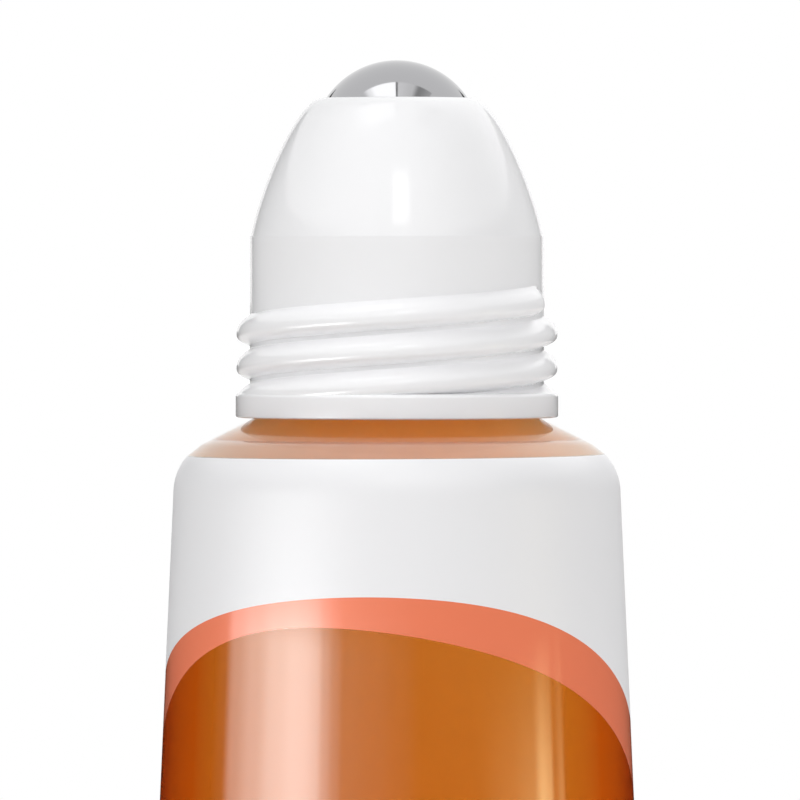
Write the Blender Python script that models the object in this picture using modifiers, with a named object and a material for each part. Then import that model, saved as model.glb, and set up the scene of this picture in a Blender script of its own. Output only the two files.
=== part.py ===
"""Cuticle oil bottle: a roll-on glass bottle with a printed film sleeve and a sprung steel ball, cap off.

Lengths are in metres and +Z is up. The origin is the centre of the ring that the bottle stands on, and the
front is -Y. Pieces that touch on the real bottle keep a small gap here.
"""

import math

import bmesh
import bpy
import numpy as np
from mathutils import Matrix, Vector

OBJECT_NAME = "cuticle_oil_bottle"

# Clearances
GAP = 0.0003
BALL_GAP = 0.00025

# Glass neck
NECK_HEIGHT = 0.0083
NECK_RADIUS = 0.0061
NECK_WALL = 0.0015
NECK_LIP_ROUNDING = 0.0004
NECK_ROOT_ROUNDING = 0.00025
BEAD_DEPTH = 0.00055
BEAD_UNDERSIDE = 0.0025
BEAD_HEIGHT = 0.0011
BEAD_ROUNDING = 0.0003

# Roller housing
SKIRT_WALL = 0.00125
SKIRT_ROOT_ROUNDING = 0.0002
FLANGE_THICKNESS = 0.0014
FLANGE_MARGIN = 0.00005
FLANGE_ROUNDING = 0.00012
DOME_STEP = 0.00005
DOME_FOOT_DROP = 0.0002
DOME_FOOT_PULL = 0.0025
DOME_LEAN = math.radians(10)
LIP_RISE = 0.00265
LIP_LAND = 0.00005
LIP_PULL = 0.0014
SNAP_RING_HEIGHT = 0.0005
SNAP_LEAD_OUT = 0.0004

# Cap thread: two starts, right-handed
THREAD_STARTS = 2
THREAD_LEAD = 0.0038
THREAD_DEPTH = 0.00075
THREAD_FRONT_HEIGHT = 0.0058
THREAD_TOP_ANGLE = math.radians(66)
THREAD_CREST_WIDTH = 0.0007
THREAD_SHOULDER_WIDTH = 0.0010
THREAD_SHOULDER_DROP = 0.0001
THREAD_ROOT_WIDTH = 0.0018
THREAD_ROOT_DEPTH = 0.0002
THREAD_END_ANGLE = math.radians(5)
THREAD_END_SHARE = 0.55

# Ball
BALL_DIAMETER = 0.009525
BALL_LIFT = 0.0004

# Glass body, outside
BODY_HEIGHT = 0.0447
BODY_SPREAD = 0.0020
LEDGE_INSET = 0.00024
LEDGE_DROP = 0.00013
LEDGE_ROUNDING_SHARE = 0.75
SHOULDER_WIDTH = 0.00354
SHOULDER_ANGLE = math.radians(26.8)
SHOULDER_ROUNDING = 0.0030
HEEL_ROUNDING = 0.0020
PUSH_UP_INSET = 0.0041
PUSH_UP_HEIGHT = 0.0010

# Glass body, inside
GLASS_WALL = 0.0017
FLOOR_HEIGHT = 0.0048
FLOOR_ROUNDING = 0.0035
THROAT_ROUNDING = 0.0008

# Printed sleeve, thicker here than the real film so that it makes a solid
SLEEVE_THICKNESS = 0.0003
SLEEVE_TOP_DROP = 0.0018
SLEEVE_FOOT_RISE = 0.0006
ZONE_GAP = 0.0004

# The stripe's shape, as shares of the sleeve's height: its top edge sways once and twice round the
# bottle, and so does its width
STRIPE_DROP_SHARE = 0.3754
STRIPE_SWAY_SHARE = 0.2213
STRIPE_SWAY_ANGLE = math.radians(-9.2)
STRIPE_BEND_SHARE = -0.032
STRIPE_BEND_ANGLE = math.radians(-11.2)
WIDTH_SHARE = 0.118
WIDTH_SWAY_SHARE = -0.0868
WIDTH_SWAY_ANGLE = math.radians(-1.2)
WIDTH_BEND_SHARE = 0.0244
WIDTH_BEND_ANGLE = math.radians(21.1)

# Neck gasket and spring plug
GASKET_THICKNESS = 0.0006
PLUG_FLANGE_THICKNESS = 0.0008
PLUG_WALL = 0.0008
PLUG_FLOOR = 0.0008
PLUG_FEED_SHARE = 0.476
SPIGOT_HEIGHT = 0.0010
SPIGOT_CLEARANCE = 0.0004

# Air between the oil and the plug
OIL_DROP = 0.0005

# Spring
SPRING_WIRE = 0.0005
SPRING_TURNS = 5.5
SPRING_SIDE_CLEARANCE = 0.0005

# Ball cup
CUP_RIM_WIDTH = 0.0003
CUP_UNDERSIDE_DROP = 0.0015
CUP_FEED_SHARE = 0.381
CUP_SPIGOT_LENGTH = 0.0014

# Fineness
ROUND_STEPS = 40
INSERT_STEPS = 32
SLEEVE_STEPS = 64
ARC_ERROR = 0.00003
DOME_POINTS = 9
PUSH_UP_POINTS = 4
SEAT_POINTS = 4
SOCKET_POINTS = 3
THREAD_STEP = math.radians(10)
SPRING_POINTS_PER_TURN = 10
SPRING_BEVEL_RESOLUTION = 1
BALL_SEGMENTS = 32
BALL_RINGS = 16
MERGE_DISTANCE = 0.00001
SMOOTH_ANGLE = math.radians(35)

# Radii that follow from the sizes above
NECK_BORE_RADIUS = NECK_RADIUS - NECK_WALL
BEAD_RADIUS = NECK_RADIUS + BEAD_DEPTH
HOUSING_BORE_RADIUS = BEAD_RADIUS + GAP
SKIRT_RADIUS = HOUSING_BORE_RADIUS + SKIRT_WALL
THREAD_CREST_RADIUS = SKIRT_RADIUS + THREAD_DEPTH
FLANGE_RADIUS = THREAD_CREST_RADIUS + FLANGE_MARGIN
LEDGE_RADIUS = FLANGE_RADIUS - LEDGE_INSET
BODY_TOP_RADIUS = LEDGE_RADIUS + SHOULDER_WIDTH
BODY_BASE_RADIUS = BODY_TOP_RADIUS + BODY_SPREAD
PUSH_UP_RADIUS = BODY_BASE_RADIUS - PUSH_UP_INSET
INSERT_RADIUS = HOUSING_BORE_RADIUS - GAP
PLUG_RADIUS = NECK_BORE_RADIUS - GAP
PLUG_BORE_RADIUS = PLUG_RADIUS - PLUG_WALL
SPRING_RADIUS = PLUG_BORE_RADIUS - SPRING_SIDE_CLEARANCE - SPRING_WIRE / 2
SPIGOT_RADIUS = SPRING_RADIUS - SPRING_WIRE / 2 - SPIGOT_CLEARANCE
PLUG_FEED_RADIUS = SPIGOT_RADIUS * PLUG_FEED_SHARE
CUP_FEED_RADIUS = SPIGOT_RADIUS * CUP_FEED_SHARE
CUP_RADIUS = PLUG_BORE_RADIUS - GAP
BALL_RADIUS = BALL_DIAMETER / 2
SOCKET_RADIUS = BALL_RADIUS + BALL_GAP

# Depths below the body's outside
PANEL_DEPTH = SLEEVE_THICKNESS + GAP
CAVITY_DEPTH = PANEL_DEPTH + GLASS_WALL

# Heights that follow from the sizes above
NECK_TOP = BODY_HEIGHT + NECK_HEIGHT
SEAT = BODY_HEIGHT + GAP
GASKET_FOOT = NECK_TOP + GAP
PLUG_FLANGE_FOOT = GASKET_FOOT + GASKET_THICKNESS + GAP
PLUG_TOP = PLUG_FLANGE_FOOT + PLUG_FLANGE_THICKNESS
HOUSING_WEB = PLUG_TOP + GAP
DOME_FOOT = HOUSING_WEB - DOME_FOOT_DROP
BALL_CENTRE = PLUG_TOP + BALL_RADIUS + BALL_LIFT
LIP = BALL_CENTRE + LIP_RISE
CUP_UNDERSIDE = BALL_CENTRE - BALL_RADIUS - CUP_UNDERSIDE_DROP
SLEEVE_TOP = BODY_HEIGHT - SLEEVE_TOP_DROP
SLEEVE_FOOT = HEEL_ROUNDING + SLEEVE_FOOT_RISE
SLEEVE_HEIGHT = SLEEVE_TOP - SLEEVE_FOOT


def rounded(corners):
    """The points of an outline through corners of (radius, height, rounding), its roundings as arcs.

    A rounding finer than the arcs' own error stays a plain corner.
    """
    points = [Vector(corners[0][:2])]
    for before, corner, after in zip(corners, corners[1:], corners[2:]):
        here = Vector(corner[:2])
        to_last = (Vector(before[:2]) - here).normalized()
        to_next = (Vector(after[:2]) - here).normalized()
        half = to_last.angle(to_next) / 2
        turn = math.pi - 2 * half
        if corner[2] < ARC_ERROR:
            points.append(here)
            continue
        centre = here + (to_last + to_next).normalized() * corner[2] / math.sin(half)
        start = here + to_last * corner[2] / math.tan(half) - centre
        way = math.copysign(turn, start.y * to_last.x - start.x * to_last.y)
        steps = math.ceil(turn / (2 * math.acos(1 - ARC_ERROR / corner[2])))
        points += [centre + Matrix.Rotation(way * i / steps, 2) @ start for i in range(steps + 1)]
    points.append(Vector(corners[-1][:2]))
    return [tuple(point) for point in points]


def radius_at(outline, height):
    """The radius of an outline that falls all the way, at one height."""
    radii, heights = zip(*reversed(outline))
    return float(np.interp(height, heights, radii))


def between(outline, high, low):
    """The stretch of a falling outline between two heights."""
    inside = [point for point in outline if low + MERGE_DISTANCE < point[1] < high - MERGE_DISTANCE]
    return [(radius_at(outline, high), high)] + inside + [(radius_at(outline, low), low)]


def shoulder_height(radius, inset):
    """The height of the shoulder's cone at a radius, moved in by inset."""
    fall = (radius - LEDGE_RADIUS) * math.tan(SHOULDER_ANGLE)
    return BODY_HEIGHT - LEDGE_DROP - fall - inset / math.cos(SHOULDER_ANGLE)


def side_radius(height, inset):
    """The radius of the body's tapered side at a height, moved in by inset."""
    spread = BODY_BASE_RADIUS - BODY_TOP_RADIUS
    lean = math.atan2(spread, BODY_HEIGHT)
    return BODY_BASE_RADIUS - spread * height / BODY_HEIGHT - inset / math.cos(lean)


def shoulder_corner(inset):
    """Where the shoulder's cone and the body's side would meet, with the rounding there."""
    taper = (BODY_BASE_RADIUS - BODY_TOP_RADIUS) / BODY_HEIGHT
    fall = math.tan(SHOULDER_ANGLE)
    top = shoulder_height(0, inset)
    radius = (side_radius(0, inset) - taper * top) / (1 - taper * fall)
    return radius, top - fall * radius, max(SHOULDER_ROUNDING - inset, 0)


def throat_top():
    """The height where the neck's straight bore begins, above the throat's rounding."""
    return shoulder_height(NECK_BORE_RADIUS, CAVITY_DEPTH) + THROAT_ROUNDING


def plug_foot():
    return throat_top() + OIL_DROP


def silhouette(inset):
    """The body's outside from the ledge down to the standing ring, moved in by inset."""
    corners = [
        (LEDGE_RADIUS, shoulder_height(LEDGE_RADIUS, inset), 0),
        shoulder_corner(inset),
        (side_radius(0, inset), 0, HEEL_ROUNDING),
        (PUSH_UP_RADIUS, 0, 0),
    ]
    return rounded(corners)[:-1]


def new_object(name, mesh, material, collection):
    mesh.materials.append(material)
    obj = bpy.data.objects.new(name, mesh)
    collection.objects.link(obj)
    return obj


def freeze(obj):
    """Turns the object's modifiers into its mesh, with its flat faces crisp and its round ones smooth."""
    graph = bpy.context.evaluated_depsgraph_get()
    mesh = bpy.data.meshes.new_from_object(obj.evaluated_get(graph))
    obj.modifiers.clear()
    obj.data = mesh
    mesh.shade_smooth()
    mesh.set_sharp_from_angle(angle=SMOOTH_ANGLE)
    return obj


def turned(name, outline, material, collection, steps, ring=False):
    """A solid turned about Z. The outline runs down its outer side, and a ring's outline closes on itself."""
    form = bmesh.new()
    points = [form.verts.new((radius, 0, height)) for radius, height in outline]
    for start, end in zip(points, points[1:] + points[:1] if ring else points[1:]):
        form.edges.new((start, end))
    mesh = bpy.data.meshes.new(name)
    form.to_mesh(mesh)
    form.free()
    obj = new_object(name, mesh, material, collection)
    screw = obj.modifiers.new("Turn", "SCREW")
    screw.steps = steps
    screw.render_steps = steps
    screw.use_merge_vertices = True
    screw.merge_threshold = MERGE_DISTANCE
    return freeze(obj)


def glass_outline():
    """The bottle's section, from the cavity's floor up the inside and down the outside."""
    bead_foot = BODY_HEIGHT + BEAD_UNDERSIDE
    inside_and_neck = rounded(
        [
            (0, FLOOR_HEIGHT, 0),
            (side_radius(FLOOR_HEIGHT, CAVITY_DEPTH), FLOOR_HEIGHT, FLOOR_ROUNDING),
            shoulder_corner(CAVITY_DEPTH),
            (NECK_BORE_RADIUS, shoulder_height(NECK_BORE_RADIUS, CAVITY_DEPTH), THROAT_ROUNDING),
            (NECK_BORE_RADIUS, NECK_TOP, NECK_LIP_ROUNDING),
            (NECK_RADIUS, NECK_TOP, NECK_LIP_ROUNDING),
            (NECK_RADIUS, bead_foot + BEAD_HEIGHT, 0),
            (BEAD_RADIUS, bead_foot + BEAD_HEIGHT, BEAD_ROUNDING),
            (BEAD_RADIUS, bead_foot, BEAD_ROUNDING),
            (NECK_RADIUS, bead_foot, 0),
            (NECK_RADIUS, BODY_HEIGHT, NECK_ROOT_ROUNDING),
            (LEDGE_RADIUS, BODY_HEIGHT, LEDGE_DROP * LEDGE_ROUNDING_SHARE),
            (LEDGE_RADIUS, shoulder_height(LEDGE_RADIUS, 0), 0),
        ]
    )
    outside = silhouette(0)
    panel_top = SLEEVE_TOP + GAP
    panel_foot = SLEEVE_FOOT - GAP
    push_up = []
    for step in range(1, PUSH_UP_POINTS + 1):
        share = step / PUSH_UP_POINTS
        push_up.append((PUSH_UP_RADIUS * (1 - share), PUSH_UP_HEIGHT * (1 - (1 - share) ** 2)))
    return (
        inside_and_neck[:-1]
        + between(outside, shoulder_height(LEDGE_RADIUS, 0), panel_top)
        + between(silhouette(PANEL_DEPTH), panel_top, panel_foot)
        + between(outside, panel_foot, 0)
        + [(PUSH_UP_RADIUS, 0)]
        + push_up
    )


def oil_outline():
    """The oil's section, from its level in the throat down its side to the floor."""
    inset = CAVITY_DEPTH + GAP
    level = throat_top()
    throat = NECK_BORE_RADIUS - GAP
    foot = FLOOR_HEIGHT + GAP
    return rounded(
        [
            (0, level, 0),
            (throat, level, 0),
            (throat, shoulder_height(throat, inset), THROAT_ROUNDING),
            shoulder_corner(inset),
            (side_radius(foot, inset), foot, FLOOR_ROUNDING - GAP),
            (0, foot, 0),
        ]
    )


def stripe_top(angle):
    """The height of the stripe's top edge at an angle from the front, positive to the right."""
    sway = STRIPE_SWAY_SHARE * math.cos(angle - STRIPE_SWAY_ANGLE)
    bend = STRIPE_BEND_SHARE * math.cos(2 * (angle - STRIPE_BEND_ANGLE))
    return SLEEVE_TOP - SLEEVE_HEIGHT * (STRIPE_DROP_SHARE - sway - bend)


def stripe_foot(angle):
    """The height of the stripe's lower edge at an angle from the front."""
    sway = WIDTH_SWAY_SHARE * math.cos(angle - WIDTH_SWAY_ANGLE)
    bend = WIDTH_BEND_SHARE * math.cos(2 * (angle - WIDTH_BEND_ANGLE))
    return stripe_top(angle) - SLEEVE_HEIGHT * (WIDTH_SHARE + sway + bend)


def sleeve_zone(name, rows, material, collection):
    """One printed zone of the sleeve: a shell through rows of heights, each a function of the angle."""
    outside = silhouette(0)
    form = bmesh.new()
    bmesh.ops.create_grid(form, x_segments=SLEEVE_STEPS, y_segments=len(rows) - 1, size=0.5)
    for vertex in form.verts:
        angle = (vertex.co.x + 0.5) * 2 * math.pi
        row = rows[round((0.5 - vertex.co.y) * (len(rows) - 1))]
        height = row(angle)
        radius = radius_at(outside, height)
        vertex.co = (radius * math.sin(angle), -radius * math.cos(angle), height)
    bmesh.ops.remove_doubles(form, verts=form.verts, dist=MERGE_DISTANCE)
    bmesh.ops.recalc_face_normals(form, faces=form.faces)
    mesh = bpy.data.meshes.new(name)
    form.to_mesh(mesh)
    form.free()
    shell = new_object(name, mesh, material, collection)
    solidify = shell.modifiers.new("Film", "SOLIDIFY")
    solidify.thickness = SLEEVE_THICKNESS
    solidify.offset = -1
    return freeze(shell)


def level_rows(high, low):
    """Rows at the body's own outline points, which follow its roundings."""
    return [lambda angle, height=height: height for _, height in between(silhouette(0), high, low)]


def sleeve(materials, collection):
    shoulder_foot = between(silhouette(0), SLEEVE_TOP, SLEEVE_FOOT)[-2][1]
    sleeve_zone(
        "sleeve_white",
        level_rows(SLEEVE_TOP, shoulder_foot) + [lambda angle: stripe_top(angle) + ZONE_GAP / 2],
        materials["white"],
        collection,
    )
    sleeve_zone(
        "sleeve_coral",
        [
            lambda angle: stripe_top(angle) - ZONE_GAP / 2,
            lambda angle: stripe_foot(angle) + ZONE_GAP / 2,
        ],
        materials["coral"],
        collection,
    )
    sleeve_zone(
        "sleeve_window",
        [
            lambda angle: stripe_foot(angle) - ZONE_GAP / 2,
            lambda angle: SLEEVE_FOOT,
        ],
        materials["clear"],
        collection,
    )


def bezier(start, start_pull, end_pull, end, count):
    """Points along a curve that leaves start towards start_pull and reaches end from end_pull."""
    points = []
    for step in range(count + 1):
        t = step / count
        s = 1 - t
        point = s**3 * start + 3 * s * s * t * start_pull + 3 * s * t * t * end_pull + t**3 * end
        points.append(tuple(point))
    return points


def housing_outline():
    """The roller housing's section, a ring: down the dome and skirt, then up the inside."""
    mouth_radius = math.sqrt(SOCKET_RADIUS**2 - LIP_RISE**2)
    lip = Vector((mouth_radius + LIP_LAND, LIP))
    foot = Vector((SKIRT_RADIUS - DOME_STEP, DOME_FOOT))
    foot_pull = foot + DOME_FOOT_PULL * Vector((-math.sin(DOME_LEAN), math.cos(DOME_LEAN)))
    dome = bezier(lip, lip + Vector((LIP_PULL, 0)), foot_pull, foot, DOME_POINTS)
    snap_radius = NECK_RADIUS + GAP
    lead_out_top = BODY_HEIGHT + BEAD_UNDERSIDE - GAP
    snap_top = lead_out_top - SNAP_LEAD_OUT
    skirt_and_bore = rounded(
        [
            (SKIRT_RADIUS, DOME_FOOT, 0),
            (SKIRT_RADIUS, SEAT + FLANGE_THICKNESS, SKIRT_ROOT_ROUNDING),
            (FLANGE_RADIUS, SEAT + FLANGE_THICKNESS, FLANGE_ROUNDING),
            (FLANGE_RADIUS, SEAT, FLANGE_ROUNDING),
            (HOUSING_BORE_RADIUS, SEAT, 0),
            (snap_radius, snap_top - SNAP_RING_HEIGHT, 0),
            (snap_radius, snap_top, 0),
            (HOUSING_BORE_RADIUS, lead_out_top, 0),
            (HOUSING_BORE_RADIUS, HOUSING_WEB, 0),
            (SOCKET_RADIUS, HOUSING_WEB, 0),
            (SOCKET_RADIUS, BALL_CENTRE, 0),
        ]
    )
    lip_angle = math.asin(LIP_RISE / SOCKET_RADIUS)
    socket = []
    for step in range(1, SOCKET_POINTS + 1):
        angle = lip_angle * step / SOCKET_POINTS
        radius = SOCKET_RADIUS * math.cos(angle)
        socket.append((radius, BALL_CENTRE + SOCKET_RADIUS * math.sin(angle)))
    return dome + skirt_and_bore + socket


def thread_section(share):
    """The ridge's section as (radius, height) round its root, shrunk to share of its size."""
    root = SKIRT_RADIUS - THREAD_ROOT_DEPTH
    upper = [
        (root, THREAD_ROOT_WIDTH),
        (THREAD_CREST_RADIUS - THREAD_SHOULDER_DROP, THREAD_SHOULDER_WIDTH),
        (THREAD_CREST_RADIUS, THREAD_CREST_WIDTH),
    ]
    lower = [(radius, -width) for radius, width in reversed(upper)]
    return [(root + share * (radius - root), share * width / 2) for radius, width in upper + lower]


def thread_ridge(name, start_angle, collection):
    """One start of the cap thread: its section lofted from a blunt end down a helix into the flange."""
    top_height = SEAT + THREAD_FRONT_HEIGHT + THREAD_LEAD * THREAD_TOP_ANGLE / (2 * math.pi)
    foot_height = SEAT + FLANGE_ROUNDING + THREAD_ROOT_WIDTH / 2
    turn = (top_height - foot_height) / THREAD_LEAD * 2 * math.pi
    count = math.ceil(turn / THREAD_STEP)
    stations = [(THREAD_END_ANGLE, THREAD_END_SHARE)] + [(-turn * i / count, 1) for i in range(count + 1)]
    form = bmesh.new()
    rings = []
    for angle, share in stations:
        height = top_height + THREAD_LEAD * angle / (2 * math.pi)
        place = Matrix.Rotation(angle, 4, "Z") @ Matrix.Translation((0, 0, height))
        rings.append([form.verts.new(place @ Vector((r, 0, rise))) for r, rise in thread_section(share)])
    for ring, below in zip(rings, rings[1:]):
        for i in range(len(ring)):
            form.faces.new((ring[i - 1], ring[i], below[i], below[i - 1]))
    form.faces.new(rings[0])
    form.faces.new(rings[-1])
    bmesh.ops.recalc_face_normals(form, faces=form.faces)
    mesh = bpy.data.meshes.new(name)
    form.to_mesh(mesh)
    form.free()
    ridge = bpy.data.objects.new(name, mesh)
    ridge.rotation_euler.z = start_angle
    ridge.hide_render = True
    ridge.display_type = "WIRE"
    collection.objects.link(ridge)
    return ridge


def roller_housing(material, collection, helpers):
    housing = turned("roller_housing", housing_outline(), material, collection, ROUND_STEPS, ring=True)
    front = -math.pi / 2
    for start in range(THREAD_STARTS):
        turn = front + THREAD_TOP_ANGLE + start * 2 * math.pi / THREAD_STARTS
        ridge = thread_ridge(f"thread_start_{start + 1}", turn, helpers)
        union = housing.modifiers.new(f"Thread start {start + 1}", "BOOLEAN")
        union.operation = "UNION"
        union.object = ridge
    return freeze(housing)


def gasket_outline():
    top = GASKET_FOOT + GASKET_THICKNESS
    return [
        (INSERT_RADIUS, top),
        (INSERT_RADIUS, GASKET_FOOT),
        (NECK_BORE_RADIUS, GASKET_FOOT),
        (NECK_BORE_RADIUS, top),
    ]


def plug_outline():
    """The spring plug's section, a ring round its feed hole: down the outside and up the inside."""
    foot = plug_foot()
    floor_top = foot + PLUG_FLOOR
    spigot_top = floor_top + SPIGOT_HEIGHT
    return [
        (INSERT_RADIUS, PLUG_TOP),
        (INSERT_RADIUS, PLUG_FLANGE_FOOT),
        (PLUG_RADIUS, PLUG_FLANGE_FOOT),
        (PLUG_RADIUS, foot),
        (PLUG_FEED_RADIUS, foot),
        (PLUG_FEED_RADIUS, spigot_top),
        (SPIGOT_RADIUS, spigot_top),
        (SPIGOT_RADIUS, floor_top),
        (PLUG_BORE_RADIUS, floor_top),
        (PLUG_BORE_RADIUS, PLUG_TOP),
    ]


def cup_outline():
    """The ball cup's section, a ring round its feed hole: down the outside, up the hole and out the seat."""
    rim_start = CUP_RADIUS - CUP_RIM_WIDTH
    first = math.asin(CUP_FEED_RADIUS / SOCKET_RADIUS)
    last = math.asin(rim_start / SOCKET_RADIUS)
    seat = []
    for step in range(SEAT_POINTS + 1):
        angle = first + (last - first) * step / SEAT_POINTS
        seat.append((SOCKET_RADIUS * math.sin(angle), BALL_CENTRE - SOCKET_RADIUS * math.cos(angle)))
    rim = seat[-1][1]
    return [
        (CUP_RADIUS, rim),
        (CUP_RADIUS, CUP_UNDERSIDE),
        (SPIGOT_RADIUS, CUP_UNDERSIDE),
        (SPIGOT_RADIUS, CUP_UNDERSIDE - CUP_SPIGOT_LENGTH),
        (CUP_FEED_RADIUS, CUP_UNDERSIDE - CUP_SPIGOT_LENGTH),
        *seat,
    ]


def spring_points():
    """The wire's centre line: a coil whose two ends turn straight towards the faces that they press on."""
    foot = plug_foot() + PLUG_FLOOR + GAP
    top = CUP_UNDERSIDE - GAP
    coil_foot = foot + SPRING_WIRE
    coil_height = top - foot - 2 * SPRING_WIRE
    count = round(SPRING_TURNS * SPRING_POINTS_PER_TURN)
    coil = []
    for step in range(count + 1):
        angle = 2 * math.pi * step / SPRING_POINTS_PER_TURN
        height = coil_foot + coil_height * step / count
        coil.append(Vector((SPRING_RADIUS * math.cos(angle), SPRING_RADIUS * math.sin(angle), height)))
    first = Vector((coil[0].x, coil[0].y, foot))
    last = Vector((coil[-1].x, coil[-1].y, top))
    return [first, *coil, last]


def least_gap(points, diameter):
    """The least distance between the surfaces of a tube's turns, by its points half a turn or more apart."""
    apart = SPRING_POINTS_PER_TURN // 2
    distances = []
    for i, point in enumerate(points):
        distances += [(point - other).length for other in points[i + apart :]]
    return min(distances) - diameter


def ball_spring(material, collection):
    points = spring_points()
    print(f"ball_spring: least gap between turns {least_gap(points, SPRING_WIRE):.6f} m")
    curve = bpy.data.curves.new("ball_spring", "CURVE")
    curve.dimensions = "3D"
    curve.bevel_depth = SPRING_WIRE / 2
    curve.bevel_resolution = SPRING_BEVEL_RESOLUTION
    curve.use_fill_caps = True
    spline = curve.splines.new("POLY")
    spline.points.add(len(points) - 1)
    for slot, point in zip(spline.points, points):
        slot.co = (*point, 1)
    curve.materials.append(material)
    spring = bpy.data.objects.new("ball_spring", curve)
    collection.objects.link(spring)
    return spring


def roller_ball(material, collection):
    form = bmesh.new()
    bmesh.ops.create_uvsphere(form, u_segments=BALL_SEGMENTS, v_segments=BALL_RINGS, radius=BALL_RADIUS)
    mesh = bpy.data.meshes.new("roller_ball")
    form.to_mesh(mesh)
    form.free()
    mesh.shade_smooth()
    ball = new_object("roller_ball", mesh, material, collection)
    ball.location = (0, 0, BALL_CENTRE)
    return ball


def new_material(name, colour, roughness, metallic=0.0, transmission=0.0, ior=1.5):
    material = bpy.data.materials.new(name)
    material.use_nodes = True
    shader = material.node_tree.nodes["Principled BSDF"]
    shader.inputs["Base Color"].default_value = (*colour, 1)
    shader.inputs["Roughness"].default_value = roughness
    shader.inputs["Metallic"].default_value = metallic
    shader.inputs["Transmission Weight"].default_value = transmission
    shader.inputs["IOR"].default_value = ior
    material.diffuse_color = (*colour, 1)
    return material


def new_materials():
    return {
        "glass": new_material("clear_glass", (0.95, 0.93, 0.9), 0.02, transmission=1.0, ior=1.52),
        "oil": new_material("amber_oil", (0.78, 0.26, 0.03), 0.05, transmission=0.4, ior=1.47),
        "white": new_material("white_print", (0.86, 0.86, 0.88), 0.18),
        "coral": new_material("coral_print", (0.81, 0.2, 0.11), 0.18),
        "clear": new_material("clear_film", (0.97, 0.95, 0.93), 0.05, transmission=1.0, ior=1.5),
        "housing": new_material("white_polypropylene", (0.88, 0.88, 0.89), 0.22),
        "ball": new_material("polished_steel", (0.6, 0.6, 0.61), 0.06, metallic=1.0),
        "insert": new_material("natural_polyethylene", (0.8, 0.81, 0.8), 0.4),
        "spring": new_material("spring_steel", (0.5, 0.5, 0.51), 0.25, metallic=1.0),
        "gasket": new_material("grey_rubber", (0.3, 0.3, 0.31), 0.7),
    }


def new_collection(name, hide):
    collection = bpy.data.collections.new(name)
    collection.hide_render = hide
    bpy.context.scene.collection.children.link(collection)
    return collection


def clear_scene():
    for obj in list(bpy.data.objects):
        bpy.data.objects.remove(obj, do_unlink=True)


def main():
    clear_scene()
    pieces = new_collection(OBJECT_NAME, False)
    helpers = new_collection("cutters", True)
    materials = new_materials()
    turned("glass_bottle", glass_outline(), materials["glass"], pieces, ROUND_STEPS)
    turned("oil_fill", oil_outline(), materials["oil"], pieces, ROUND_STEPS)
    sleeve(materials, pieces)
    roller_housing(materials["housing"], pieces, helpers)
    turned("neck_gasket", gasket_outline(), materials["gasket"], pieces, INSERT_STEPS, ring=True)
    turned("spring_plug", plug_outline(), materials["insert"], pieces, INSERT_STEPS, ring=True)
    ball_spring(materials["spring"], pieces)
    cup = turned("ball_cup", cup_outline(), materials["insert"], pieces, INSERT_STEPS, ring=True)
    ball = roller_ball(materials["ball"], pieces)
    ball.parent = cup


main()
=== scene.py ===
"""The looks of a roll-on cuticle oil bottle, laid out as an add-on that builds it piece by piece."""

import math

import bpy
from mathutils import Matrix, Vector


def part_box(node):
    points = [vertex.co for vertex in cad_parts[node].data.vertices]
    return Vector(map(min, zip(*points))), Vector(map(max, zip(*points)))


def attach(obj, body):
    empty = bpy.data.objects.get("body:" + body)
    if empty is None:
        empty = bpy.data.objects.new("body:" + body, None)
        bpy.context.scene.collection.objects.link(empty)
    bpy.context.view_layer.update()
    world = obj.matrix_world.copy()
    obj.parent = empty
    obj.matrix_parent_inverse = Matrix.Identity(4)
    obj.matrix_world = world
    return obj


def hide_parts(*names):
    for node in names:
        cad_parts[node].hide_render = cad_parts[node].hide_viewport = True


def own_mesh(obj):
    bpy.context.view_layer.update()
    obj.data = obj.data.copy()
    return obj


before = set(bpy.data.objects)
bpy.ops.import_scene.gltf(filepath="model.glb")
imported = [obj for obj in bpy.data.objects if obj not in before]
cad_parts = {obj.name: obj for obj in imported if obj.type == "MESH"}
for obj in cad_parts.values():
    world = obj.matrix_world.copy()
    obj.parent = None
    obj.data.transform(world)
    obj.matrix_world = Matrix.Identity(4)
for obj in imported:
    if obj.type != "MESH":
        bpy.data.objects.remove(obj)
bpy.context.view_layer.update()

bl_info = {
    "name": "Cuticle oil bottle",
    "version": (1, 0, 0),
    "blender": (4, 5, 0),
    "location": "View3D > Sidebar > Oil Bottle",
    "description": "Builds a roll-on cuticle oil bottle: glass, oil, printed sleeve, housing and ball",
    "category": "Add Mesh",
}

# Heights and places that the frame gives
HOUSING_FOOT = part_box("roller_housing")[0].z
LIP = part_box("roller_housing")[1].z
BALL_RADIUS = (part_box("roller_ball")[1].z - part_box("roller_ball")[0].z) / 2
BALL_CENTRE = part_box("roller_ball")[0].z + BALL_RADIUS
NECK_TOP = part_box("glass_bottle")[1].z
SLEEVE_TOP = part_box("sleeve_white")[1].z
SLEEVE_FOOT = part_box("sleeve_window")[0].z
SLEEVE_HEIGHT = SLEEVE_TOP - SLEEVE_FOOT
OIL_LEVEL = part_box("oil_fill")[1].z

# The step inside the housing, from its bore in to its socket, lies just above the plug
PLUG_AIR = 0.0003
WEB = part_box("spring_plug")[1].z + PLUG_AIR

# The spring: its wire, its turns and the rise of a closed turn
SPRING_WIRE = 0.0005
SPRING_TURNS = 6
CLOSED_RISE = 0.00055

# Fineness
SEGMENTS = 256
BALL_SEGMENTS = 192
ARC_STEP = math.radians(4)
DOME_ROWS = 48
THREAD_ROW = 0.00003
SLEEVE_ROW = 0.0008
PUSH_UP_ROWS = 8
LIP_ROWS = 12
SPRING_STEPS = 32
WIRE_BEVEL = 3
CARD_STEPS = 48
SMOOTH_ANGLE = math.radians(38)
TINY = 1e-12

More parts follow.
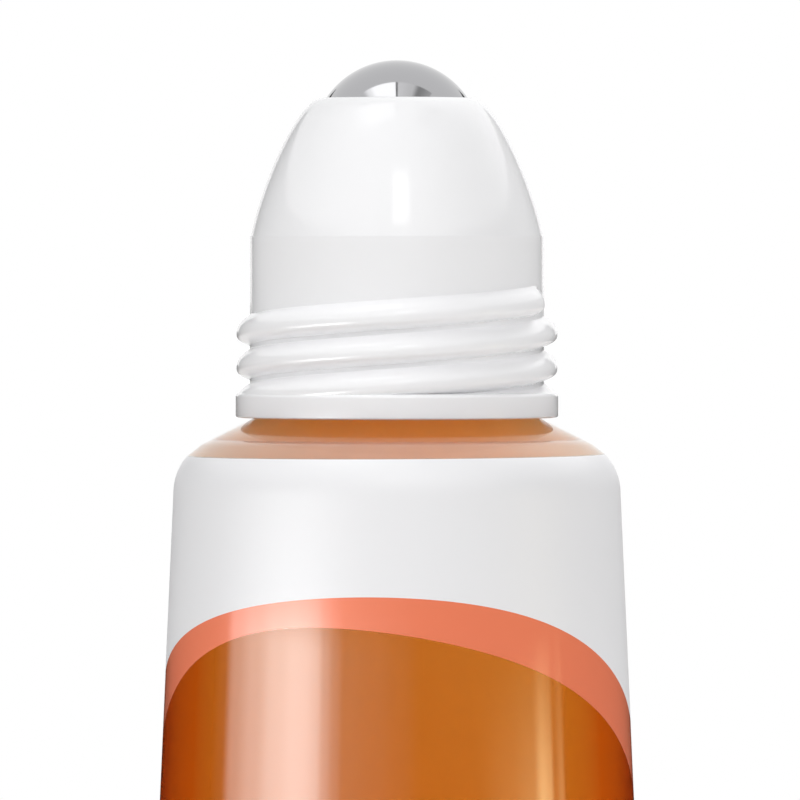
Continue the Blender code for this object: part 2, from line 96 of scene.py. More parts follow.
# Above 1, a sleeve zone's rows crowd towards its top edge, where the glass curves most
ROW_CROWDING = 1.5

# Over this many of its rows, the lip's inside leaves the socket's sphere for its own
LIP_BLEND_ROWS = 4

# How round a thread's two flanks are: 1 is straight, and more is fuller
UPPER_FLANK = 2.3
LOWER_FLANK = 2.8

# The turns, counted from the front, in which a thread can pass
THREAD_TURNS = range(-3, 2)

# The picture is square, so a lens length on this sensor gives both its sides
SENSOR = 36
NEAR_CLIP = 0.01

# The floor lies a hair below the standing ring, and the lamps are aimed at the bottle's middle
FLOOR_GAP = 0.00001
MIDDLE = (0, 0, 0.045)

# The black cards stand round the bottle at one distance, in a low and a high row
CARD_DISTANCE = 0.30
CARD_FOOT = -0.06
CARD_WAIST = 0.05
SIDE_CARD_TOP = 0.17
FRONT_CARD_TOP = 0.12

# How bright each softbox is along its length, as places from 0 to 1 and levels there
LEFT_LEVELS = (
    (0.0, 0.0),
    (0.07, 0.02),
    (0.136, 0.3),
    (0.25, 0.54),
    (0.357, 0.84),
    (0.45, 1.0),
    (0.5, 0.96),
    (0.545, 0.8),
    (0.586, 0.44),
    (0.629, 0.22),
    (0.671, 0.09),
    (0.8, 0.06),
    (0.9, 0.03),
    (1.0, 0.0),
)
RIGHT_LEVELS = (
    (0.0, 0.0),
    (0.35, 0.16),
    (0.6, 0.34),
    (0.72, 1.0),
    (0.8, 0.7),
    (0.86, 0.1),
    (0.94, 0.3),
    (1.0, 0.0),
)
OVERHEAD_LEVELS = (
    (0.0, 0.45),
    (0.12, 0.8),
    (0.2, 1.0),
    (0.48, 1.0),
    (0.488, 0.12),
    (0.506, 0.12),
    (0.514, 0.55),
    (0.7, 0.48),
    (0.8, 0.2),
    (1.0, 0.3),
)


def linear(hex_colour):
    """A colour written as sRGB hex, as linear red, green and blue."""
    values = []
    for start in (0, 2, 4):
        value = int(hex_colour[start : start + 2], 16) / 255
        values.append(value / 12.92 if value <= 0.04045 else ((value + 0.055) / 1.055) ** 2.4)
    return tuple(values)


def size(name, description, default, unit="LENGTH"):
    """A length in metres, or an angle in radians, that a user may change."""
    subtype = {"LENGTH": "DISTANCE", "ROTATION": "ANGLE"}.get(unit, "NONE")
    return bpy.props.FloatProperty(
        name=name, description=description, default=default, unit=unit, subtype=subtype, precision=5
    )


def share(name, description, default):
    """A plain number that a user may change."""
    return bpy.props.FloatProperty(name=name, description=description, default=default, precision=4)


def colour(name, description, hex_colour):
    """A colour that a user may change."""
    return bpy.props.FloatVectorProperty(
        name=name, description=description, default=linear(hex_colour), subtype="COLOR", min=0, max=1
    )


class BottleGlassSizes(bpy.types.PropertyGroup):
    ledge_radius: size("Ledge radius", "Radius of the ledge under the housing", 0.00876)
    ledge_air: size("Air at the ledge", "Air between the ledge and the housing", 0.00002)
    ledge_drop: size("Ledge drop", "How far the cone starts below the body's nominal top", 0.00013)
    body_height: size("Body height", "Height of the body up to its ledge", 0.0447)
    shoulder_width: size("Shoulder width", "From the ledge out to the body's side", 0.00354)
    shoulder_angle: size("Shoulder angle", "Fall of the shoulder's cone", math.radians(26.8), "ROTATION")
    shoulder_rounding: size("Shoulder rounding", "Radius between the shoulder and the side", 0.0030)
    body_spread: size("Body spread", "How much wider the body's base is than its top", 0.0020)
    heel_rounding: size("Heel rounding", "Radius at the foot of the side", 0.0020)
    push_up_inset: size("Push-up inset", "From the side in to the hollow under the base", 0.0041)
    push_up_height: size("Push-up height", "Height of the hollow under the base", 0.0010)
    wall: size("Wall", "From the outside in to the cavity", 0.0023)
    floor_height: size("Floor height", "Height of the cavity's floor", 0.0048)
    floor_rounding: size("Floor rounding", "Radius round the cavity's floor", 0.0035)
    throat_rounding: size("Throat rounding", "Radius where the shoulder meets the neck's bore", 0.0008)
    neck_radius: size("Neck radius", "Outer radius of the neck", 0.0061)
    neck_wall: size("Neck wall", "Wall of the neck", 0.0015)
    neck_rounding: size("Neck rounding", "Radius at the neck's lip", 0.0004)
    bead_depth: size("Bead depth", "How far the neck's bead stands out", 0.00055)
    bead_underside: size("Bead underside", "Height of the bead above the body", 0.0025)
    bead_height: size("Bead height", "Height of the bead", 0.0011)
    bead_rounding: size("Bead rounding", "Radius of the bead's edges", 0.0003)


class BottleSleeveSizes(bpy.types.PropertyGroup):
    film: size("Film", "Thickness of the printed film", 0.00005)
    air: size("Air", "Air between the film and the glass", 0.000005)
    top_tilt: size("Top tilt", "How far the white edge climbs from the front to the right", 0.000055)
    margin: size("Clear margin", "Clear film above the white edge", 0.00088)
    stripe_drop: share("Stripe drop", "Middle of the stripe's top edge below the sleeve's top", 0.3754)
    stripe_sway: share("Stripe sway", "Sway of the stripe's top edge, once round", 0.2213)
    stripe_sway_angle: size("Sway angle", "Where that sway is highest", math.radians(-9.2), "ROTATION")
    stripe_bend: share("Stripe bend", "Sway of the stripe's top edge, twice round", -0.032)
    stripe_bend_angle: size("Bend angle", "Where that bend is highest", math.radians(-11.2), "ROTATION")
    width: share("Stripe width", "Mean width of the stripe", 0.118)
    width_sway: share("Width sway", "Change of the width, once round", -0.0868)
    width_sway_angle: size("Width sway angle", "Where it is greatest", math.radians(-1.2), "ROTATION")
    width_bend: share("Width bend", "Change of the width, twice round", 0.0244)
    width_bend_angle: size("Width bend angle", "Where it is greatest", math.radians(21.1), "ROTATION")


class BottleHousingSizes(bpy.types.PropertyGroup):
    skirt_radius: size("Skirt radius", "Outer radius of the skirt between the threads", 0.0082)
    bore_radius: size("Bore radius", "Radius inside the skirt", 0.00695)
    flange_radius: size("Flange radius", "Radius of the flange", 0.0090)
    flange_thickness: size("Flange thickness", "Thickness of the flange", 0.0014)
    flange_rounding: size("Flange rounding", "Radius of the flange's upper edge", 0.00024)
    flange_foot_rounding: size("Flange foot rounding", "Radius of the flange's lower edge", 0.00014)
    root_rounding: size("Root rounding", "Fillet between the flange and the skirt", 0.0002)
    dome_foot: size("Dome foot", "Height of the dome's foot above the housing's foot", 0.0101)
    dome_step: size("Dome step", "Step from the skirt in to the dome", 0.00005)
    dome_foot_pull: size("Dome foot pull", "How far the dome rises before it curves in", 0.0025)
    dome_lean: size("Dome lean", "Lean of the dome at its foot", math.radians(10), "ROTATION")
    lip_pull: size("Lip pull", "How far the top stays flat before it curves down", 0.0014)
    lip_clearance: size("Lip clearance", "Gap between the ball and the lip", 0.00008)
    lip_land: size("Lip land", "Width of the land round the ball", 0.00012)
    socket_clearance: size("Socket clearance", "Gap between the ball and its socket", 0.00025)
    thread_lead: size("Thread lead", "Rise of each thread in a turn", 0.0038)
    thread_depth: size("Thread depth", "How far a thread stands out", 0.00075)
    thread_front: size("Thread height", "Height of the upper thread at the front", 0.0058)
    thread_top_angle: size("Thread end", "Where the upper thread ends", math.radians(66), "ROTATION")
    thread_end: size("Thread end length", "Angle over which a thread dies out", math.radians(6), "ROTATION")
    thread_root: size("Thread root", "Width of a thread's root", 0.00164)
    thread_sag: size("Thread sag", "How far the crest lies below the middle of the root", 0.0002)


class BottleColours(bpy.types.PropertyGroup):
    glass: colour("Glass", "Clear flint glass", "FFFFFF")
    oil: colour("Oil", "What a ray keeps on its way through the oil", "FCD23F")
    oil_density: share("Oil density", "Absorption of the oil, per metre", 172)
    white_ink: colour("White ink", "The sleeve's white zone", "F2F2F4")
    coral_ink: colour("Coral ink", "The sleeve's stripe", "F7835D")
    film: colour("Film", "The sleeve's clear zones", "FDFBF8")
    polypropylene: colour("Polypropylene", "The roller housing", "FAFAFC")
    polyethylene: colour("Polyethylene", "The plug and the cup", "E4E5E1")
    steel: colour("Steel", "The ball", "B3B3B5")
    spring: colour("Spring", "The spring's wire", "A8A8AA")
    rubber: colour("Rubber", "The gasket", "5A5A5C")
    floor: colour("Floor", "The floor under the bottle", "E9E8E6")


class BottleStageSizes(bpy.types.PropertyGroup):
    camera_distance: size("Camera distance", "From the bottle's axis to the camera", 0.5)
    camera_height: size("Camera height", "Height of the camera", 0.0529)
    camera_side: size("Camera side", "How far the camera stands to the right", 0.00017)
    aim_height: size("Aim height", "Height that the camera looks at", 0.04597)
    frame_width: size("Frame width", "Width that the picture takes in at the bottle's axis", 0.04464)
    fill: share("Fill", "Radiance of the room on plain surfaces", 0.24)
    floor_radius: size("Floor radius", "Radius of the floor", 0.30)


class OilBottle(bpy.types.PropertyGroup):
    glass: bpy.props.PointerProperty(type=BottleGlassSizes)
    sleeve: bpy.props.PointerProperty(type=BottleSleeveSizes)
    housing: bpy.props.PointerProperty(type=BottleHousingSizes)
    colours: bpy.props.PointerProperty(type=BottleColours)
    stage: bpy.props.PointerProperty(type=BottleStageSizes)


def add_node(tree, kind, inputs=None, **settings):
    """Adds a node with its settings. An input given as a socket is linked, and any other is set."""
    node = tree.nodes.new(kind)
    for name, value in settings.items():
        setattr(node, name, value)
    for name, value in (inputs or {}).items():
        if isinstance(value, bpy.types.NodeSocket):
            tree.links.new(value, node.inputs[name])
        else:
            node.inputs[name].default_value = value
    return node


def principled(name, base, **inputs):
    """A material with one Principled BSDF, whose plain values sit on its own sockets."""
    material = bpy.data.materials.new(name)
    material.use_nodes = True
    shader = material.node_tree.nodes["Principled BSDF"]
    shader.inputs["Base Color"].default_value = (*base, 1)
    for key, value in inputs.items():
        shader.inputs[key.replace("_", " ").title().replace("Ior", "IOR")].default_value = value
    material.diffuse_color = (*base, 1)
    return material


def noise(tree, grain, detail=2.0, stretch=(1, 1, 1)):
    """Noise that stays on the piece, with a grain in metres, drawn out along an axis by stretch."""
    scale = [1 / (grain * way) for way in stretch]
    place = add_node(tree, "ShaderNodeTexCoord").outputs["Object"]
    mapping = add_node(tree, "ShaderNodeMapping", {"Vector": place, "Scale": scale})
    texture = add_node(
        tree, "ShaderNodeTexNoise", {"Vector": mapping.outputs["Vector"], "Scale": 1.0, "Detail": detail}
    )
    return texture.outputs["Fac"]


def relief(material, fac, height):
    """Raises the surface by a height where fac is 1."""
    tree = material.node_tree
    bump = add_node(tree, "ShaderNodeBump", {"Height": fac, "Distance": height, "Strength": 1.0})
    tree.links.new(bump.outputs["Normal"], tree.nodes["Principled BSDF"].inputs["Normal"])


def vary(material, socket, fac, low, high):
    """Lets a socket run from low to high with fac."""
    tree = material.node_tree
    ranged = add_node(tree, "ShaderNodeMapRange", {"Value": fac, "To Min": low, "To Max": high})
    tree.links.new(ranged.outputs["Result"], tree.nodes["Principled BSDF"].inputs[socket])


def shade(material, fac, dark, light):
    """Lets the base colour run from dark to light with fac, both as shares of it."""
    tree = material.node_tree
    base = tree.nodes["Principled BSDF"].inputs["Base Color"]
    ramp = add_node(tree, "ShaderNodeValToRGB", {"Fac": fac})
    for element, factor in zip(ramp.color_ramp.elements, (dark, light)):
        element.color = (*[min(channel * factor, 1) for channel in base.default_value[:3]], 1)
    tree.links.new(ramp.outputs["Color"], base)


def flint_glass(colours):
    # Blown flint glass, fire polished: the mould leaves long low waves that only a highlight shows
    material = principled("flint_glass", colours.glass, roughness=0.0, ior=1.52, transmission_weight=1.0)
    relief(material, noise(material.node_tree, 0.006, 1.0, (1, 1, 2)), 0.000004)
    return material


def wetted_glass(colours):
    # Flint glass against the oil: the two bend light almost alike, so this face nearly disappears
    material = principled(
        "wetted_flint_glass", colours.glass, roughness=0.0, ior=1.52 / 1.47, transmission_weight=1.0
    )
    relief(material, noise(material.node_tree, 0.005, 1.0, (1, 1, 2)), 0.000006)
    return material


def bonded_face(name, tint):
    # Where glass and film stick together, the two bend light alike, so neither's face shows
    material = principled(name, tint, roughness=0.0, ior=1.0, transmission_weight=1.0)
    relief(material, noise(material.node_tree, 0.005), 0.000001)
    return material


def amber_oil(colours):
    # Plant oil with an orange tint: clear, and deeper the further a ray goes through it
    material = principled("amber_plant_oil", (1, 1, 1), roughness=0.0, ior=1.0, transmission_weight=1.0)
    tree = material.node_tree
    absorbed = {"Color": (*colours.oil, 1), "Density": colours.oil_density}
    volume = add_node(tree, "ShaderNodeVolumeAbsorption", absorbed)
    tree.links.new(volume.outputs["Volume"], tree.nodes["Material Output"].inputs["Volume"])
    return material


def white_ink(colours):
    # White ink under shrink film, satin, with the film's faint orange peel
    material = principled("satin_white_ink", colours.white_ink, roughness=0.38)
    relief(material, noise(material.node_tree, 0.0007), 0.0000012)
    vary(material, "Roughness", noise(material.node_tree, 0.004), 0.35, 0.42)
    return material


def ink_underside(colours):
    # The ink's side against the glass: matt, and light glows through it. Its faint upright streaks are
    # painted light and shade, which the oil's lens spreads into bright and dark streaks in the amber
    material = principled(
        "matt_ink_underside",
        colours.white_ink,
        roughness=0.9,
        specular_ior_level=0.0,
        subsurface_weight=1.0,
        subsurface_radius=(0.0006, 0.0006, 0.0006),
        subsurface_scale=1.0,
    )
    relief(material, noise(material.node_tree, 0.0005), 0.000001)
    # Painted light and shade: upright streaks that run from 78 % of the base colour up to its full
    # brightness
    shade(material, noise(material.node_tree, 0.0012, 2.0, (1, 1, 14)), 0.78, 1.0)
    return material


def coral_ink(colours):
    # Coral ink under glossy film: an even colour with a mirror-like clear face
    material = principled(
        "glossy_coral_ink",
        colours.coral_ink,
        roughness=0.45,
        coat_weight=1.0,
        coat_roughness=0.03,
        coat_ior=1.57,
    )
    relief(material, noise(material.node_tree, 0.0007), 0.0000008)
    shade(material, noise(material.node_tree, 0.003), 0.985, 1.0)
    return material


def clear_film(colours):
    # Shrink film, clear and glossy, over amber. Its colour deepens to red-brown where the window is seen at
    # a slant: a little of that is the longer path through film and glass, most of it is painted shade that
    # darkens the window's edges
    material = principled(
        "clear_shrink_film", colours.film, roughness=0.02, ior=1.57, transmission_weight=1.0
    )
    tree = material.node_tree
    relief(material, noise(tree, 0.002, 1.0), 0.0000012)
    # Painted shade: Layer Weight's facing runs the film's colour from clear to deep red-brown, so the
    # window's edges look darker from any view
    slant = add_node(tree, "ShaderNodeLayerWeight", {"Blend": 0.5}).outputs["Facing"]
    ramp = add_node(tree, "ShaderNodeValToRGB", {"Fac": slant})
    painted_edge_shades = [
        (0.15, colours.film),
        (0.32, linear("EFBC59")),
        (0.50, linear("E16C16")),
        (0.78, linear("B33810")),
    ]
    elements = ramp.color_ramp.elements
    while len(elements) < len(painted_edge_shades):
        elements.new(0.5)
    for element, (position, depth) in zip(elements, painted_edge_shades):
        element.position = position
        element.color = (*depth, 1)
    tree.links.new(ramp.outputs["Color"], tree.nodes["Principled BSDF"].inputs["Base Color"])
    return material


def milky_film(colours):
    # The film's clear margin, drawn tight over the shoulder, where it turns a little milky
    material = principled(
        "milky_shrink_film", colours.film, roughness=0.06, ior=1.45, transmission_weight=0.8
    )
    relief(material, noise(material.node_tree, 0.0008), 0.000002)
    return material


def moulded_polypropylene(colours):
    # Injection-moulded polypropylene: semi-gloss and slightly waxy
    # The mould's grain is too fine to show, so it is drawn coarser
    material = principled(
        "moulded_polypropylene",
        colours.polypropylene,
        roughness=0.12,
        ior=1.49,
        subsurface_weight=0.25,
        subsurface_radius=(0.0008, 0.0008, 0.0008),
        subsurface_scale=1.0,
    )
    tree = material.node_tree
    relief(material, noise(tree, 0.0008), 0.0000003)
    vary(material, "Roughness", noise(tree, 0.003), 0.10, 0.14)
    return material


def natural_polyethylene(colours):
    # Injection-moulded polyethylene: soft, waxy and a little see-through
    material = principled(
        "natural_polyethylene",
        colours.polyethylene,
        roughness=0.42,
        ior=1.51,
        subsurface_weight=0.4,
        subsurface_radius=(0.001, 0.001, 0.001),
        subsurface_scale=1.0,
    )
    tree = material.node_tree
    relief(material, noise(tree, 0.0004), 0.000002)
    vary(material, "Roughness", noise(tree, 0.002), 0.38, 0.48)
    return material


def polished_steel(colours):
    # Polished stainless bearing steel: a mirror with hairlines that the polish left
    # They are finer than a pixel, so they are drawn coarser
    material = principled("polished_bearing_steel", colours.steel, metallic=1.0, roughness=0.07)
    tree = material.node_tree
    relief(material, noise(tree, 0.00012, 3.0, (1, 6, 1)), 0.00000004)
    vary(material, "Roughness", noise(tree, 0.0012), 0.05, 0.10)
    return material


def spring_steel(colours):
    # Drawn spring wire: bright, with the die's streaks along its turns, drawn coarser so that they show
    material = principled("drawn_spring_steel", colours.spring, metallic=1.0, roughness=0.28)
    tree = material.node_tree
    relief(material, noise(tree, 0.00015, 2.0, (8, 8, 1)), 0.000002)
    vary(material, "Roughness", noise(tree, 0.0008), 0.22, 0.36)
    return material


def moulded_rubber(colours):
    # Moulded rubber: matte and dark, with a dusty speckle
    material = principled("moulded_rubber", colours.rubber, roughness=0.75, ior=1.52)
    tree = material.node_tree
    relief(material, noise(tree, 0.0002, 4.0), 0.000004)
    shade(material, noise(tree, 0.0006, 4.0), 0.85, 1.1)
    return material


def arc(before, corner, after, rounding):
    """The points of a rounded corner between two straight runs of an outline."""
    here = Vector(corner)
    to_last = (Vector(before) - here).normalized()
    to_next = (Vector(after) - here).normalized()
    half = to_last.angle(to_next) / 2
    turn = math.pi - 2 * half
    centre = here + (to_last + to_next).normalized() * rounding / math.sin(half)
    start = here + to_last * rounding / math.tan(half) - centre
    way = math.copysign(turn, start.y * to_last.x - start.x * to_last.y)
    steps = max(math.ceil(turn / ARC_STEP), 2)
    return [tuple(centre + Matrix.Rotation(way * i / steps, 2) @ start) for i in range(steps + 1)]


def rounded(corners):
    """The points of an outline through corners of (radius, height, rounding)."""
    points = [tuple(corners[0][:2])]
    for before, corner, after in zip(corners, corners[1:], corners[2:]):
        if corner[2] > 0:
            points += arc(before[:2], corner[:2], after[:2], corner[2])
        else:
            points.append(tuple(corner[:2]))
    points.append(tuple(corners[-1][:2]))
    return points


def between(outline, high, low):
    """The stretch of a falling outline between two heights."""
    inside = [point for point in outline if low < point[1] < high]
    return [(radius_at(outline, high), high)] + inside + [(radius_at(outline, low), low)]


def radius_at(outline, height):
    """The radius of a falling outline at one height."""
    for upper, lower in zip(outline, outline[1:]):
        if lower[1] <= height <= upper[1]:
            along = (upper[1] - height) / max(upper[1] - lower[1], TINY)
            return upper[0] + along * (lower[0] - upper[0])
    return outline[0][0] if height > outline[0][1] else outline[-1][0]


def shoulder_height(glass, radius, inset):
    """The height of the shoulder's cone at a radius, moved in by inset."""
    fall = (radius - glass.ledge_radius) * math.tan(glass.shoulder_angle)
    return glass.body_height - glass.ledge_drop - fall - inset / math.cos(glass.shoulder_angle)


def side_radius(glass, height, inset):
    """The radius of the body's tapered side at a height, moved in by inset."""
    base = glass.ledge_radius + glass.shoulder_width + glass.body_spread
    lean = math.atan2(glass.body_spread, glass.body_height)
    return base - glass.body_spread * height / glass.body_height - inset / math.cos(lean)


def shoulder_corner(glass, inset):
    """Where the shoulder's cone and the body's side would meet, with the rounding there."""
    taper = glass.body_spread / glass.body_height
    fall = math.tan(glass.shoulder_angle)
    top = shoulder_height(glass, 0, inset)
    radius = (side_radius(glass, 0, inset) - taper * top) / (1 - taper * fall)
    return radius, top - fall * radius, glass.shoulder_rounding - inset


def silhouette(glass, inset):
    """The body's outside from the ledge down to the standing ring, moved in by inset."""
    return rounded(
        [
            (glass.ledge_radius, shoulder_height(glass, glass.ledge_radius, inset), 0),
            shoulder_corner(glass, inset),
            (side_radius(glass, 0, inset), 0, glass.heel_rounding),
            (standing_radius(glass), 0, 0),
        ]
    )


def standing_radius(glass):
    """The inner radius of the ring that the bottle stands on."""
    return side_radius(glass, 0, 0) - glass.push_up_inset


def add_object(name, data):
    """An object with this data, in the scene."""
    item = bpy.data.objects.new(name, data)
    bpy.context.scene.collection.objects.link(item)
    return item


def round_mesh(name, stretches, segments, closed=False):
    """A round mesh through rings, in stretches of (rings, material), down its outer side.

    A ring is (radius, height), or a function that gives both at an angle from the front.
    """
    rings = []
    slots = []
    materials = []
    for stretch, material in stretches:
        if material not in materials:
            materials.append(material)
        for ring in stretch:
            rings.append(ring)
            slots.append(materials.index(material))
    points = []
    rows = []
    for ring in rings:
        if not callable(ring) and ring[0] == 0:
            rows.append([len(points)] * (segments + 1))
            points.append((0, 0, ring[1]))
            continue
        row = list(range(len(points), len(points) + segments))
        rows.append(row + row[:1])
        for step in range(segments):
            angle = 2 * math.pi * step / segments
            radius, height = ring(angle) if callable(ring) else ring
            points.append((radius * math.sin(angle), -radius * math.cos(angle), height))
    if closed:
        rows.append(rows[0])
        slots.append(slots[0])
    faces = []
    face_slots = []
    for row, below, slot in zip(rows, rows[1:], slots[1:]):
        for step in range(segments):
            face = [row[step], below[step], below[step + 1], row[step + 1]]
            face = [index for i, index in enumerate(face) if index != face[i - 1]]
            faces.append(face)
            face_slots.append(slot)
    mesh = bpy.data.meshes.new(name)
    mesh.from_pydata(points, [], faces)
    for material in materials:
        mesh.materials.append(material)
    mesh.polygons.foreach_set("material_index", face_slots)
    mesh.shade_smooth()
    mesh.set_sharp_from_angle(angle=SMOOTH_ANGLE)
    mesh.update()
    return add_object(name, mesh)


def seat(piece, body, slot, *nodes):
    """Says which body the piece rides on and hides the solids it stands for. The finish named by slot is not
    used.
    """
    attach(piece, body)
    if nodes:
        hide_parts(*nodes)


def glass_stretches(glass, sleeve, colours):
    """The bottle's section: up the cavity, over the neck and ledge, and down the outside."""
    clear = flint_glass(colours)
    wet = wetted_glass(colours)
    bore = glass.neck_radius - glass.neck_wall
    cavity = rounded(
        [
            (0, glass.floor_height, 0),
            (side_radius(glass, glass.floor_height, glass.wall), glass.floor_height, glass.floor_rounding),
            shoulder_corner(glass, glass.wall),
            (bore, shoulder_height(glass, bore, glass.wall), glass.throat_rounding),
            (bore, OIL_LEVEL, 0),
        ]
    )
    bead_foot = glass.body_height + glass.bead_underside
    bead = glass.neck_radius + glass.bead_depth
    ledge_top = HOUSING_FOOT - glass.ledge_air
    cone_top = glass.ledge_radius - (ledge_top - shoulder_height(glass, glass.ledge_radius, 0)) / math.tan(
        glass.shoulder_angle
    )
    neck = rounded(
        [
            (bore, OIL_LEVEL, 0),
            (bore, NECK_TOP, glass.neck_rounding),
            (glass.neck_radius, NECK_TOP, glass.neck_rounding),
            (glass.neck_radius, bead_foot + glass.bead_height, 0),
            (bead, bead_foot + glass.bead_height, glass.bead_rounding),
            (bead, bead_foot, glass.bead_rounding),
            (glass.neck_radius, bead_foot, 0),
            (glass.neck_radius, ledge_top, glass.bead_rounding),
            (cone_top, ledge_top, 0),
        ]
    )
    outside = silhouette(glass, 0)
    under_film = silhouette(glass, sleeve.film + sleeve.air)
    cover_top = SLEEVE_TOP + sleeve.margin + sleeve.air
    cover_foot = SLEEVE_FOOT - sleeve.air
    push_up = []
    for step in range(1, PUSH_UP_ROWS + 1):
        left = 1 - step / PUSH_UP_ROWS
        push_up.append((standing_radius(glass) * left, glass.push_up_height * (1 - left * left)))
    shoulder = between(outside, shoulder_height(glass, glass.ledge_radius, 0), cover_top)[1:]
    covered = between(under_film, cover_top, cover_foot)
    foot = between(outside, cover_foot, 0) + push_up
    bonded = bonded_face("flint_glass_under_film", colours.glass)
    return [(cavity, wet), (neck[1:], clear), (shoulder, clear), (covered, bonded), (foot, clear)]


class OILBOTTLE_OT_glass(bpy.types.Operator):
    """Blows the glass body, shoulder and neck"""

    bl_idname = "oil_bottle.glass"
    bl_label = "Glass body"

    def execute(self, context):
        bottle = context.scene.oil_bottle
        stretches = glass_stretches(bottle.glass, bottle.sleeve, bottle.colours)
        piece = round_mesh("flint_glass_body", stretches, SEGMENTS)
        seat(piece, "bottle", "clear_glass", "glass_bottle")
        return {"FINISHED"}


class OILBOTTLE_OT_oil(bpy.types.Operator):
    """Fills the glass with oil up to the throat"""

    bl_idname = "oil_bottle.oil"
    bl_label = "Oil"

    def execute(self, context):
        bottle = context.scene.oil_bottle
        glass = bottle.glass
        inset = glass.wall + bottle.sleeve.air
        throat = glass.neck_radius - glass.neck_wall - bottle.sleeve.air
        foot = glass.floor_height + bottle.sleeve.air
        outline = rounded(
            [
                (0, OIL_LEVEL, 0),
                (throat, OIL_LEVEL, 0),
                (throat, shoulder_height(glass, throat, inset), glass.throat_rounding),
                shoulder_corner(glass, inset),
                (side_radius(glass, foot, inset), foot, glass.floor_rounding - bottle.sleeve.air),
                (0, foot, 0),
            ]
        )
        piece = round_mesh("amber_oil", [(outline, amber_oil(bottle.colours))], SEGMENTS)
        seat(piece, "bottle", "amber_oil", "oil_fill")
        return {"FINISHED"}


def white_edge(sleeve, angle):
    """The height of the white zone's top edge, which sits a little askew."""
    return SLEEVE_TOP + sleeve.top_tilt * math.sin(angle)


def margin_edge(sleeve, angle):
    """The height of the clear margin's top edge, level all round."""
    return SLEEVE_TOP + sleeve.margin


def stripe_top(sleeve, angle):
    """The height of the stripe's top edge at an angle from the front, positive to the right."""
    sway = sleeve.stripe_sway * math.cos(angle - sleeve.stripe_sway_angle)
    bend = sleeve.stripe_bend * math.cos(2 * (angle - sleeve.stripe_bend_angle))
    return SLEEVE_TOP - SLEEVE_HEIGHT * (sleeve.stripe_drop - sway - bend)


def stripe_foot(sleeve, angle):
    """The height of the stripe's lower edge at an angle from the front."""
    sway = sleeve.width_sway * math.cos(angle - sleeve.width_sway_angle)
    bend = sleeve.width_bend * math.cos(2 * (angle - sleeve.width_bend_angle))
    return stripe_top(sleeve, angle) - SLEEVE_HEIGHT * (sleeve.width + sway + bend)


def film_foot(sleeve, angle):
    """The height of the film's lower edge, level all round."""
    return SLEEVE_FOOT


def film_zone(name, bottle, top, foot, face, underside):
    """One zone of the sleeve, a thin closed shell between two edges that are functions of the angle."""
    sleeve = bottle.sleeve
    outer = silhouette(bottle.glass, 0)
    inner = silhouette(bottle.glass, sleeve.film)
    quarters = [quarter * math.pi / 2 for quarter in range(4)]
    tallest = max(top(sleeve, angle) - foot(sleeve, angle) for angle in quarters)
    count = max(math.ceil(tallest / SLEEVE_ROW), 2)

    def ring(side, along):
        def at(angle):
            height = top(sleeve, angle) + (foot(sleeve, angle) - top(sleeve, angle)) * along
            return radius_at(side, height), height

        return at

    shares = [(step / count) ** ROW_CROWDING for step in range(count + 1)]
    outside = [ring(outer, along) for along in shares] + [ring(inner, 1)]
    inside = [ring(inner, along) for along in reversed(shares)][1:]
    return round_mesh(name, [(outside, face), (inside, underside)], SEGMENTS, closed=True)


class OILBOTTLE_OT_sleeve(bpy.types.Operator):
    """Shrinks the printed film onto the glass, zone by zone"""

    bl_idname = "oil_bottle.sleeve"
    bl_label = "Printed sleeve"

    def execute(self, context):
        bottle = context.scene.oil_bottle
        colours = bottle.colours
        underside = ink_underside(colours)
        bonded = bonded_face("bonded_film_back", colours.film)
        white = film_zone("white_zone", bottle, white_edge, stripe_top, white_ink(colours), underside)
        seat(white, "bottle", "white_print", "sleeve_white")
        coral = film_zone("coral_stripe", bottle, stripe_top, stripe_foot, coral_ink(colours), underside)
        seat(coral, "bottle", "coral_print", "sleeve_coral")
        window = film_zone("clear_window", bottle, stripe_foot, film_foot, clear_film(colours), bonded)
        seat(window, "bottle", "clear_film", "sleeve_window")
        margin = film_zone("clear_margin", bottle, margin_edge, white_edge, milky_film(colours), bonded)
        seat(margin, "bottle", "clear_film")
        return {"FINISHED"}


def ease(value):
    """A smooth step from 0 to 1."""
    value = min(max(value, 0), 1)
    return value * value * (3 - 2 * value)


def thread_rise(housing, angle, height):
    """How far the two threads stand out at an angle from the front and a height above the foot."""
    rise = 0
    for start_angle in (0, math.pi):
        top = housing.thread_top_angle + start_angle
        for turn in THREAD_TURNS:
            along = angle + 2 * math.pi * turn
            if along > top + housing.thread_end:
                continue
            middle = housing.thread_front + housing.thread_lead * (along - start_angle) / (2 * math.pi)
            over_crest = height - (middle - housing.thread_sag)
            if over_crest > 0:
                share_out = over_crest / (housing.thread_root / 2 + housing.thread_sag)
                profile = 1 - min(share_out, 1) ** UPPER_FLANK
            else:
                share_out = -over_crest / (housing.thread_root / 2 - housing.thread_sag)
                profile = 1 - min(share_out, 1) ** LOWER_FLANK
            fade = ease((top + housing.thread_end - along) / housing.thread_end)
            rise = max(rise, housing.thread_depth * profile * fade)
    return rise


